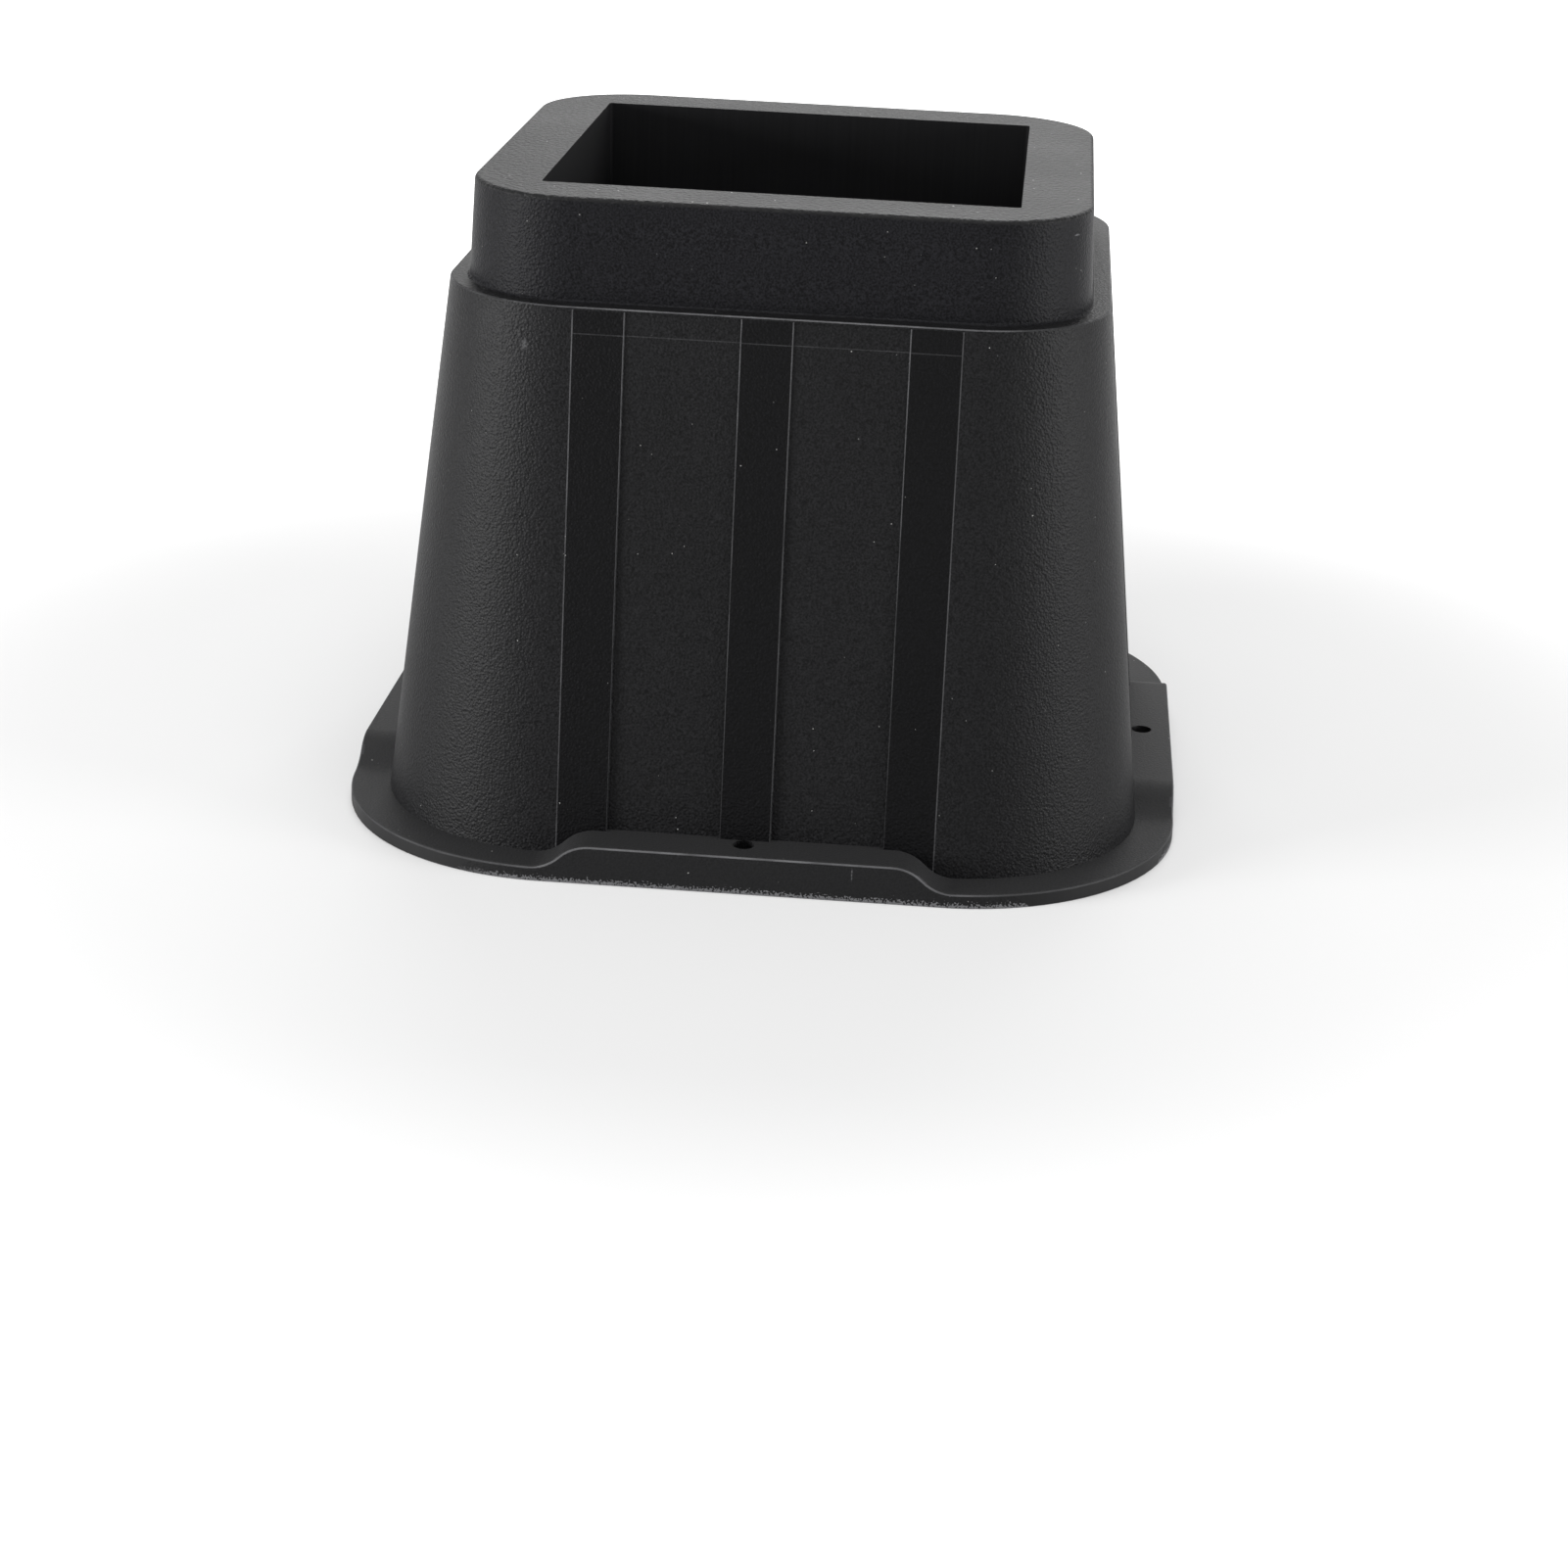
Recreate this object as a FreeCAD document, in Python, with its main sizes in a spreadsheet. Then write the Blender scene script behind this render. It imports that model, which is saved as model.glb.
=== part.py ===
"""Bed riser, five inches high, injection moulded in one piece of polypropylene.

The riser is a hollow, tapered square block that is open underneath. A square
cup hangs in its top and takes the foot of the bed. Each side wall carries three
flat strips, and ends in a thin flange whose edge rises to a platform with a
screw hole in the middle of every side. The origin is at the centre of the
base, with +Z up and the sides square to X and Y.
"""
import FreeCAD, Part
import math
import os
import Sketcher

# Driving dimensions in millimetres, and what each one is.
SIZES = [
    ("height", 127.0, "base to top rim"),
    ("opening_half", 45.4, "half width of the cup at its mouth"),
    ("opening_corner", 0.8, "radius of the upright corners in the cup"),
    ("cup_narrowing", 0.7, "how far each cup wall leans in down to the floor"),
    ("rim_width", 13.7, "flat rim between the mouth and the collar's outer face"),
    ("rim_corner", 21.3, "radius of the collar's corners at the rim"),
    ("collar_height", 19.5, "rim down to the ledge"),
    ("collar_flare", 0.9, "how much wider each side of the collar is at its foot"),
    ("ledge_width", 3.7, "ledge between the collar and the body's edge"),
    ("side_spread", 12.15, "how much wider each side is at the floor than at the ledge"),
    ("flange_width", 7.4, "flange between the foot of the body and its own edge"),
    ("flange_corner", 45.0, "radius of the flange corners"),
    ("flange_thickness", 2.8, "flange plate at the corners"),
    ("platform_height", 7.6, "top of the raised middle of each flange side"),
    ("platform_half_length", 28.8, "middle of a side to where its ramp starts"),
    ("ramp_length", 11.7, "platform top down to the flange plate"),
    ("hole_diameter", 4.2, "screw hole"),
    ("hole_inset", 6.15, "flange edge to the middle of a screw hole"),
    ("strip_width", 9.7, "flat strip on a side wall"),
    ("strip_spacing", 31.5, "middle of a strip to the middle of the next"),
    ("panel_sunk_top", 0.3, "panel between strips below their face, under the ledge"),
    ("panel_sunk_foot", 1.05, "panel between strips below their face, at the platform"),
    ("panel_gap", 0.6, "ledge down to where a panel starts"),
    ("wall", 3.0, "side walls, ledge, rim and cup"),
    ("skirt_wall", 3.0, "outer edge of each platform"),
    ("stack_pitch", 42.0, "rise from one riser to the next when they are stacked"),
    ("web_thickness", 2.4, "stiffening webs and the ribs under the cup"),
    ("web_clearance", 1.0, "webs above the rim of a riser stacked below"),
    ("floor_rib_depth", 10.0, "ribs under the floor of the cup"),
    ("floor_rib_spacing", 26.0, "between neighbouring floor ribs"),
    ("floor_rib_clearance", 1.5, "rib ends inside the mouth of a riser stacked below"),
    ("rim_round", 0.9, "rounding of the outer rim edge"),
    ("ledge_round", 0.5, "rounding of the ledge edge"),
    ("root_round", 0.6, "hollow rounding between collar and ledge"),
    ("flange_round", 0.5, "rounding of the upper flange edge"),
]
SIDES = 4
STEPS = (-1, 0, 1)

# Half widths and heights that follow from the driving sizes, as expressions.
RIM_HALF = "(Sizes.opening_half + Sizes.rim_width)"
CORNER_CORE = f"({RIM_HALF} - Sizes.rim_corner)"
COLLAR_FOOT_HALF = f"({RIM_HALF} + Sizes.collar_flare)"
LEDGE_HALF = f"({COLLAR_FOOT_HALF} + Sizes.ledge_width)"
FOOT_HALF = f"({LEDGE_HALF} + Sizes.side_spread)"
FLANGE_HALF = f"({FOOT_HALF} + Sizes.flange_width)"
LEDGE_HEIGHT = "(Sizes.height - Sizes.collar_height)"
PANEL_TOP = f"({LEDGE_HEIGHT} - Sizes.panel_gap)"
CUP_UNDERSIDE = "(Sizes.height - Sizes.stack_pitch)"
CUP_FLOOR = f"({CUP_UNDERSIDE} + Sizes.wall)"
WEB_FOOT = f"({CUP_UNDERSIDE} + Sizes.web_clearance)"
LEDGE_UNDERSIDE = f"({LEDGE_HEIGHT} - Sizes.wall)"
PLATFORM_UNDERSIDE = "(Sizes.platform_height - Sizes.flange_thickness)"
RAMP_FOOT = "(Sizes.platform_half_length + Sizes.ramp_length)"
RAMP_MIDDLE = "(Sizes.platform_half_length + Sizes.ramp_length / 2)"
HOLE_CIRCLE_RADIUS = f"({FLANGE_HALF} - Sizes.hole_inset)"
HOLE_RADIUS = "(Sizes.hole_diameter / 2)"

doc = FreeCAD.newDocument("bed_riser")
sheet = doc.addObject("Spreadsheet::Sheet", "Sizes")
for row, (alias, value, meaning) in enumerate(SIZES, start=1):
    sheet.set(f"A{row}", str(value))
    sheet.setAlias(f"A{row}", alias)
    sheet.set(f"B{row}", meaning)
doc.recompute()

body = doc.addObject("PartDesign::Body", "Riser")
body.Label = "riser"


def number(expression):
    """Return what an expression on the sheet comes to."""
    return float(body.evalExpression(expression))


def body_half(level):
    """Return the expression for the half width of the outer wall at a level."""
    return f"({FOOT_HALF} - {level} * Sizes.side_spread / {LEDGE_HEIGHT})"


def size(name):
    """Return a driving dimension."""
    return number(f"Sizes.{name}")


def origin_feature(role):
    """Return one of the planes and axes of the body's own origin."""
    for feature in body.Origin.OriginFeatures:
        if feature.Role == role:
            return feature
    raise ValueError(role)


def new_sketch(name, role, offset=None):
    """Start a sketch on an origin plane, or moved along its normal."""
    sketch = body.newObject("Sketcher::SketchObject", name)
    sketch.AttachmentSupport = (origin_feature(role), [""])
    sketch.MapMode = "FlatFace"
    if offset is not None:
        sketch.setExpression("AttachmentOffset.Base.z", offset)
    return sketch


def bind(sketch, constraint, name, expression):
    """Add a constraint with a name and tie its value to an expression."""
    index = sketch.addConstraint(constraint)
    sketch.renameConstraint(index, name)
    sketch.setExpression(f"Constraints.{name}", expression)


def place_point(sketch, geometry, end, name, across, up):
    """Fix one end of a line by its two distances from the sketch origin."""
    bind(sketch, Sketcher.Constraint("DistanceX", -1, 1, geometry, end, number(across)),
         f"{name}_across", across)
    bind(sketch, Sketcher.Constraint("DistanceY", -1, 1, geometry, end, number(up)),
         f"{name}_up", up)


def close_chain(sketch, first, count):
    """Join each piece of geometry to the next and the last to the first."""
    for step in range(count):
        following = first + (step + 1) % count
        sketch.addConstraint(Sketcher.Constraint("Coincident", first + step, 2, following, 1))


def polygon(sketch, corners):
    """Draw a closed outline through corners given as pairs of expressions."""
    points = [FreeCAD.Vector(number(across), number(up), 0) for across, up in corners]
    for step, point in enumerate(points):
        sketch.addGeometry(Part.LineSegment(point, points[(step + 1) % len(points)]))
    close_chain(sketch, 0, len(points))
    for step, (across, up) in enumerate(corners):
        place_point(sketch, step, 1, f"corner_{step}", across, up)


def rounded_square(sketch, name, half, radius):
    """Draw a square round the sketch origin with rounded corners."""
    reach = number(half)
    core = reach - number(radius)
    first = sketch.GeometryCount
    ends = [
        ((-core, -reach), (core, -reach)),
        ((reach, -core), (reach, core)),
        ((core, reach), (-core, reach)),
        ((-reach, core), (-reach, -core)),
    ]
    centres = [(core, -core), (core, core), (-core, core), (-core, -core)]
    for side, ((x1, y1), (x2, y2)) in enumerate(ends):
        sketch.addGeometry(Part.LineSegment(FreeCAD.Vector(x1, y1, 0), FreeCAD.Vector(x2, y2, 0)))
        circle = Part.Circle(FreeCAD.Vector(*centres[side], 0), FreeCAD.Vector(0, 0, 1), number(radius))
        start = math.radians(90 * (side - 1))
        sketch.addGeometry(Part.ArcOfCircle(circle, start, start + math.radians(90)))
    for step in range(8):
        following = first + (step + 1) % 8
        sketch.addConstraint(Sketcher.Constraint("Tangent", first + step, 2, following, 1))
    for side, direction in enumerate(("Horizontal", "Vertical", "Horizontal", "Vertical")):
        sketch.addConstraint(Sketcher.Constraint(direction, first + 2 * side))
    for side in (1, 2, 3):
        sketch.addConstraint(Sketcher.Constraint("Equal", first + 1, first + 1 + 2 * side))
    bind(sketch, Sketcher.Constraint("Radius", first + 1, number(radius)), f"{name}_corner", radius)
    bind(sketch, Sketcher.Constraint("DistanceY", first, 1, -1, 1, reach), f"{name}_front", half)
    bind(sketch, Sketcher.Constraint("DistanceX", -1, 1, first + 2, 1, reach), f"{name}_right", half)
    bind(sketch, Sketcher.Constraint("DistanceY", -1, 1, first + 4, 1, reach), f"{name}_back", half)
    bind(sketch, Sketcher.Constraint("DistanceX", first + 6, 1, -1, 1, reach), f"{name}_left", half)


def square_level(name, level, half, radius):
    """Make a sketch with one rounded square at a height above the base."""
    sketch = new_sketch(name, "XY_Plane", level)
    rounded_square(sketch, "square", half, radius)
    return sketch


def loft(kind, name, lower, upper):
    """Join two levels with straight walls, adding or taking away."""
    feature = body.newObject(f"PartDesign::{kind}Loft", name)
    feature.Profile = lower
    feature.Sections = [upper]
    feature.Ruled = True
    return feature


def concentric_loft(kind, name, lower_level, lower_half, upper_level, upper_half):
    """Loft between two rounded squares that share their corner centres."""
    lower = square_level(f"{name}Foot", lower_level, lower_half, f"{lower_half} - {CORNER_CORE}")
    upper = square_level(f"{name}Top", upper_level, upper_half, f"{upper_half} - {CORNER_CORE}")
    return loft(kind, name, lower, upper)


def extrude(kind, name, sketch, length, side="One side", backwards=False):
    """Pad or pocket a sketch by a length given as an expression."""
    feature = body.newObject(f"PartDesign::{kind}", name)
    feature.Profile = sketch
    feature.SideType = side
    feature.Reversed = backwards
    feature.setExpression("Length", length)
    return feature


def repeat_round(name, originals, copies, angle):
    """Turn features about the upright axis and make the result the body's tip."""
    pattern = body.newObject("PartDesign::PolarPattern", name)
    pattern.Originals = originals
    pattern.Axis = (origin_feature("Z_Axis"), [""])
    pattern.Angle = angle
    pattern.Occurrences = copies
    body.Tip = pattern
    return pattern


def round_edges(name, wanted, radius):
    """Round the edges of the present solid that a test picks."""
    doc.recompute()
    base = body.Tip
    chosen = [f"Edge{n}" for n, edge in enumerate(base.Shape.Edges, start=1) if wanted(edge)]
    fillet = body.newObject("PartDesign::Fillet", name)
    fillet.Base = (base, chosen)
    fillet.setExpression("Radius", radius)
    body.Tip = fillet
    return fillet


def edge_range(edge, axis):
    """Return the lowest and highest place of an edge along X, Y or Z."""
    box = edge.BoundBox
    return {"X": (box.XMin, box.XMax), "Y": (box.YMin, box.YMax), "Z": (box.ZMin, box.ZMax)}[axis]


def lies_at(edge, level):
    """Tell whether an edge lies flat at a height."""
    low, high = edge_range(edge, "Z")
    return abs(low - level) < 1e-4 and abs(high - level) < 1e-4


def reach_of(edge):
    """Return how far an edge gets from the centre lines, along X or Y."""
    box = edge.BoundBox
    return max(abs(box.XMin), abs(box.XMax), abs(box.YMin), abs(box.YMax))


# Flange plate, and the raised platform across the middle of each side.
flange_outline = square_level("FlangeOutline", None, FLANGE_HALF, "Sizes.flange_corner")
extrude("Pad", "FlangePlate", flange_outline, "Sizes.flange_thickness")


def platform_section():
    """Draw the cross section of a platform with its two S shaped ramps."""
    sketch = new_sketch("PlatformSection", "XZ_Plane")
    start = number("Sizes.platform_half_length")
    end = number(RAMP_FOOT)
    top = number("Sizes.platform_height")
    plate = number("Sizes.flange_thickness")
    run = end - start
    rise = top - plate
    radius = (run**2 + rise**2) / (4 * rise)
    turn = 2 * math.atan2(rise, run)
    quarter = math.radians(90)

    def line(x1, y1, x2, y2):
        return sketch.addGeometry(Part.LineSegment(FreeCAD.Vector(x1, y1, 0), FreeCAD.Vector(x2, y2, 0)))

    def arc(x, y, first, last):
        circle = Part.Circle(FreeCAD.Vector(x, y, 0), FreeCAD.Vector(0, 0, 1), radius)
        return sketch.addGeometry(Part.ArcOfCircle(circle, first, last))

    base = line(-end, 0, end, 0)
    right = line(end, 0, end, plate)
    right_toe = arc(end, plate + radius, -quarter - turn, -quarter)
    right_crest = arc(start, top - radius, quarter - turn, quarter)
    deck = line(start, top, -start, top)
    left_crest = arc(-start, top - radius, quarter, quarter + turn)
    left_toe = arc(-end, plate + radius, -quarter, -quarter + turn)
    left = line(-end, plate, -end, 0)
    for rule in (
        ("Coincident", base, 2, right, 1),
        ("Coincident", right, 2, right_toe, 2),
        ("Tangent", right_toe, 1, right_crest, 1),
        ("Tangent", right_crest, 2, deck, 1),
        ("Tangent", deck, 2, left_crest, 1),
        ("Tangent", left_crest, 2, left_toe, 2),
        ("Coincident", left_toe, 1, left, 1),
        ("Coincident", left, 2, base, 1),
        ("Horizontal", base),
        ("Horizontal", deck),
        ("Vertical", right),
        ("Vertical", left),
        ("PointOnObject", base, 1, -1),
        ("Vertical", right_toe, 3, right, 2),
        ("Vertical", left_toe, 3, left, 1),
        ("Equal", right_toe, right_crest),
        ("Equal", left_toe, left_crest),
    ):
        sketch.addConstraint(Sketcher.Constraint(*rule))
    distances = [
        ("right_foot", "DistanceX", (-1, 1, right, 1), RAMP_FOOT),
        ("left_foot", "DistanceX", (left, 2, -1, 1), RAMP_FOOT),
        ("right_start", "DistanceX", (-1, 1, deck, 1), "Sizes.platform_half_length"),
        ("left_start", "DistanceX", (deck, 2, -1, 1), "Sizes.platform_half_length"),
        ("right_plate", "DistanceY", (right, 1, right, 2), "Sizes.flange_thickness"),
        ("left_plate", "DistanceY", (left, 2, left, 1), "Sizes.flange_thickness"),
        ("deck_level", "DistanceY", (-1, 1, deck, 1), "Sizes.platform_height"),
    ]
    for name, kind, between, expression in distances:
        bind(sketch, Sketcher.Constraint(kind, *between, number(expression)), name, expression)
    return sketch


platform = extrude("Pad", "PlatformFrontBack", platform_section(), f"2 * {FLANGE_HALF}", "Symmetric")
repeat_round("Platforms", [platform], 2, 90)

# Everything outside the flange outline is trimmed off the platforms.
trim_outline = new_sketch("TrimOutline", "XY_Plane")
rounded_square(trim_outline, "outside", f"{FLANGE_HALF} + Sizes.flange_width", "Sizes.flange_corner")
rounded_square(trim_outline, "flange", FLANGE_HALF, "Sizes.flange_corner")
extrude("Pocket", "FlangeTrim", trim_outline, "2 * Sizes.platform_height", backwards=True)


def is_upper_flange_edge(edge):
    """Tell whether an edge follows the flange outline above the base."""
    core = number(FLANGE_HALF) - size("flange_corner")
    first, last = edge.ParameterRange
    for share in (0.0, 0.5, 1.0):
        point = edge.valueAt(first + share * (last - first))
        across = math.hypot(max(abs(point.x) - core, 0), max(abs(point.y) - core, 0))
        if abs(across - size("flange_corner")) > 1e-3 or point.z < size("flange_thickness") / 2:
            return False
    return True


round_edges("FlangeRounding", is_upper_flange_edge, "Sizes.flange_round")

# Tapered body, and the collar that stands on its ledge.
concentric_loft("Additive", "Taper", None, FOOT_HALF, LEDGE_HEIGHT, LEDGE_HALF)
concentric_loft("Additive", "Collar", LEDGE_HEIGHT, COLLAR_FOOT_HALF, "Sizes.height", RIM_HALF)


def is_rim(edge):
    """Tell whether an edge goes round the top of the collar."""
    return lies_at(edge, size("height"))


def is_ledge_edge(edge):
    """Tell whether an edge goes round the outside of the ledge."""
    return lies_at(edge, number(LEDGE_HEIGHT)) and reach_of(edge) > number(LEDGE_HALF) - 1e-4


def is_collar_root(edge):
    """Tell whether an edge goes round the foot of the collar."""
    return lies_at(edge, number(LEDGE_HEIGHT)) and reach_of(edge) < number(COLLAR_FOOT_HALF) + 1e-4


round_edges("RimRounding", is_rim, "Sizes.rim_round")
round_edges("LedgeRounding", is_ledge_edge, "Sizes.ledge_round")
round_edges("CollarRoot", is_collar_root, "Sizes.root_round")

# Two shallow panels on each side leave three strips standing between and beside them.
sunk_outline = [
    (f"{body_half('Sizes.platform_height')} - Sizes.panel_sunk_foot", "Sizes.platform_height"),
    (f"{FOOT_HALF} + Sizes.wall", "Sizes.platform_height"),
    (f"{FOOT_HALF} + Sizes.wall", PANEL_TOP),
    (f"{body_half(PANEL_TOP)} - Sizes.panel_sunk_top", PANEL_TOP),
]
panels = []
for place in (-0.5, 0.5):
    side = "Left" if place < 0 else "Right"
    sketch = new_sketch(f"PanelOutline{side}", "YZ_Plane", f"{place} * Sizes.strip_spacing")
    polygon(sketch, sunk_outline)
    panels.append(extrude("Pocket", f"Panel{side}", sketch,
                          "Sizes.strip_spacing - Sizes.strip_width", "Symmetric"))
repeat_round("Panels", panels, SIDES, 360)

# Hollow inside of the body and of the collar, open at the base.
concentric_loft("Subtractive", "BodyHollow", None, f"{FOOT_HALF} - Sizes.wall",
                LEDGE_UNDERSIDE, f"{body_half(LEDGE_UNDERSIDE)} - Sizes.wall")
concentric_loft("Subtractive", "CollarHollow", LEDGE_UNDERSIDE, f"{COLLAR_FOOT_HALF} - Sizes.wall",
                "Sizes.height - Sizes.wall", f"{RIM_HALF} - Sizes.wall")

# Room under each platform, between the side wall and the skirt.
platform_room = new_sketch("PlatformRoom", "XZ_Plane")
polygon(platform_room, [
    (f"-{RAMP_MIDDLE}", "0"),
    (RAMP_MIDDLE, "0"),
    ("Sizes.platform_half_length", PLATFORM_UNDERSIDE),
    ("-Sizes.platform_half_length", PLATFORM_UNDERSIDE),
])
room = extrude("Pocket", "PlatformRoomFrontBack", platform_room,
               f"2 * ({FLANGE_HALF} - Sizes.skirt_wall)", "Symmetric")
repeat_round("PlatformRooms", [room], 2, 90)

# Cup in the top: a block down to the stacking level, then its recess.
cup_outline = square_level("CupOutline", CUP_UNDERSIDE, "Sizes.opening_half + Sizes.wall",
                           "Sizes.opening_corner + Sizes.wall")
extrude("Pad", "CupBlock", cup_outline, "Sizes.stack_pitch - Sizes.wall / 2")
cup_floor = square_level("CupFloor", CUP_FLOOR, "Sizes.opening_half - Sizes.cup_narrowing",
                         "Sizes.opening_corner")
cup_mouth = square_level("CupMouth", "Sizes.height", "Sizes.opening_half", "Sizes.opening_corner")
loft("Subtractive", "CupRecess", cup_floor, cup_mouth)

# Crossed ribs under the floor of the cup, short enough to enter a cup stacked below.
rib_reach = "(Sizes.opening_half - Sizes.floor_rib_clearance)"
ribs = []
for place in STEPS:
    sketch = new_sketch(f"FloorRibOutline{place + 2}", "YZ_Plane", f"{place} * Sizes.floor_rib_spacing")
    polygon(sketch, [
        (f"-{rib_reach}", f"{CUP_UNDERSIDE} - Sizes.floor_rib_depth"),
        (rib_reach, f"{CUP_UNDERSIDE} - Sizes.floor_rib_depth"),
        (rib_reach, f"{CUP_UNDERSIDE} + Sizes.wall / 2"),
        (f"-{rib_reach}", f"{CUP_UNDERSIDE} + Sizes.wall / 2"),
    ])
    ribs.append(extrude("Pad", f"FloorRib{place + 2}", sketch, "Sizes.web_thickness", "Symmetric"))
repeat_round("FloorRibs", ribs, 2, 90)

# Webs that tie the cup to the outer wall behind every strip.
web_outline = [
    ("Sizes.opening_half + Sizes.wall / 2", WEB_FOOT),
    (f"{body_half(WEB_FOOT)} - Sizes.wall / 2", WEB_FOOT),
    (f"{LEDGE_HALF} - Sizes.wall / 2", f"{LEDGE_HEIGHT} - Sizes.wall / 2"),
    (f"{COLLAR_FOOT_HALF} - Sizes.wall / 2", f"{LEDGE_HEIGHT} - Sizes.wall / 2"),
    (f"{RIM_HALF} - Sizes.wall / 2", "Sizes.height - Sizes.wall / 2"),
    ("Sizes.opening_half + Sizes.wall / 2", "Sizes.height - Sizes.wall / 2"),
]
webs = []
for place in STEPS:
    sketch = new_sketch(f"WebOutline{place + 2}", "YZ_Plane", f"{place} * Sizes.strip_spacing")
    polygon(sketch, web_outline)
    webs.append(extrude("Pad", f"Web{place + 2}", sketch, "Sizes.web_thickness", "Symmetric"))
repeat_round("Webs", webs, SIDES, 360)

# One screw hole through the middle of each platform.
hole_sketch = new_sketch("HolePlace", "XY_Plane", "Sizes.platform_height")
hole_sketch.addGeometry(Part.Circle(FreeCAD.Vector(0, number(HOLE_CIRCLE_RADIUS), 0),
                                    FreeCAD.Vector(0, 0, 1), number(HOLE_RADIUS)))
hole_sketch.addConstraint(Sketcher.Constraint("PointOnObject", 0, 3, -2))
bind(hole_sketch, Sketcher.Constraint("DistanceY", -1, 1, 0, 3, number(HOLE_CIRCLE_RADIUS)),
     "circle", HOLE_CIRCLE_RADIUS)
bind(hole_sketch, Sketcher.Constraint("Radius", 0, number(HOLE_RADIUS)), "screw", HOLE_RADIUS)
doc.recompute()
hole = body.newObject("PartDesign::Hole", "ScrewHole")
hole.Profile = hole_sketch
hole.ThreadType = "None"
hole.DepthType = "ThroughAll"
hole.DrillPoint = "Flat"
hole.setExpression("Diameter", "Sizes.hole_diameter")
repeat_round("ScrewHoles", [hole], SIDES, 360)

doc.recompute()
for item in doc.Objects:
    if "Invalid" in item.State or "Error" in item.State:
        raise RuntimeError(f"{item.Name} did not build: {item.State}")
for part in [item for item in doc.Objects if item.TypeId == "PartDesign::Body"]:
    if part.Shape.isNull() or not part.Shape.isValid() or len(part.Shape.Solids) != 1:
        raise RuntimeError(f"{part.Label} is not one valid solid")
    os.makedirs("parts", exist_ok=True)
    part.Shape.exportStep(f"parts/{part.Label}.step")
    print(part.Label, round(part.Shape.Volume / 1000, 1), "cubic centimetres")
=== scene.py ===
"""Looks of the bed riser: moulded black polypropylene in a plain white studio.

Lengths are given in millimetres and turned to metres where they are used. The
riser stands on the floor with its base centred on the origin and +Z up.
"""

import logging
import math
from abc import ABC, abstractmethod
from dataclasses import dataclass
from enum import Enum

import bpy
from mathutils import Matrix, Vector


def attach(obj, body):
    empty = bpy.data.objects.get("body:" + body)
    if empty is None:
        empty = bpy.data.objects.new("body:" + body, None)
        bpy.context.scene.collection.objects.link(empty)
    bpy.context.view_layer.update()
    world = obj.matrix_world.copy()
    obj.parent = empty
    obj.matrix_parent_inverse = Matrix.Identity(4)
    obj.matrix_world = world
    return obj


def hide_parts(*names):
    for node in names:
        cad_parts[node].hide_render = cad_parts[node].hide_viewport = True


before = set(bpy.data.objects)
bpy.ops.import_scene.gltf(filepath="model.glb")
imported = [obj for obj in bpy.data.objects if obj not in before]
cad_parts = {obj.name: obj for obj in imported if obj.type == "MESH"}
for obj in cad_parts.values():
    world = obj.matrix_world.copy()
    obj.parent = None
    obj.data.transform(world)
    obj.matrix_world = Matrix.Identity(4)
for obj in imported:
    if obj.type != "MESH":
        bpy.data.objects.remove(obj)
log = logging.getLogger("riser")

Tree = bpy.types.NodeTree
Socket = bpy.types.NodeSocket
Colour = tuple[float, float, float, float]
Span = tuple[float, float]

NODE = "riser"
BODY = "root"
MM_PER_METRE = 1000.0
FULL = (0.0, 1.0)
WHITE = "#ffffff"

# Slacks in millimetres, each smaller than the features that it tells apart.
CORNER_SLACK = 0.01
LEVEL_SLACK = 0.05
FACE_SLACK = 0.08
RAMP_SLACK = 0.1
EDGE_SLACK = 0.5
FOOT_SLACK = 0.7
ROUNDING_SLACK = 1.0

# A point nearer than this to the core, in millimetres, has no clear way outwards.
SHORTEST_REACH = 1.0

# Parts of a unit normal that sort the faces by where they look.
SQUARE_ON = 0.9999
ALONG_WALL = 0.97
LOOKS_UP = 0.5
RIM_RISE = 0.2
ROOF_RISE = 0.3
UPRIGHT_SLACK = 0.4

# A face looks inwards where its normal leans this far against the way out.
INWARD = -0.3


def metres(millimetres: float) -> float:
    """Turn a length from millimetres into metres.

    Args:
        millimetres: the length in millimetres.

    Returns:
        The length in metres.
    """
    return millimetres / MM_PER_METRE


def in_metres(lengths: tuple[float, ...]) -> tuple[float, ...]:
    """Turn several lengths from millimetres into metres.

    Args:
        lengths: the lengths in millimetres.

    Returns:
        The lengths in metres.
    """
    return tuple(metres(length) for length in lengths)


def linear(hex_colour: str) -> Colour:
    """Turn an sRGB hex colour into the linear colour that the shaders take.

    Args:
        hex_colour: six hex digits after a hash sign.

    Returns:
        Red, green, blue and an alpha of one.
    """
    levels = [int(hex_colour[place:place + 2], 16) / 255 for place in (1, 3, 5)]
    red, green, blue = [
        level / 12.92 if level <= 0.04045 else ((level + 0.055) / 1.055) ** 2.4
        for level in levels
    ]
    return (red, green, blue, 1.0)


def per_metre(feature_mm: float) -> float:
    """Find the texture scale at which one feature of a pattern has a given size.

    Args:
        feature_mm: the size of the feature.

    Returns:
        The number of features in a metre.
    """
    return MM_PER_METRE / feature_mm


def add_node(
    tree: Tree, kind: str, settings: dict | None = None, inputs: dict | None = None
) -> bpy.types.Node:
    """Add a node with its settings and links.

    Args:
        tree: the node tree to add to.
        kind: the node's type name.
        settings: attributes of the node and their values.
        inputs: socket names or numbers, each with a value or with the output
            socket that feeds it.

    Returns:
        The new node.
    """
    node = tree.nodes.new(kind)
    for name, value in (settings or {}).items():
        setattr(node, name, value)
    for name, value in (inputs or {}).items():
        if isinstance(value, Socket):
            tree.links.new(value, node.inputs[name])
        else:
            node.inputs[name].default_value = value
    return node


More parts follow.
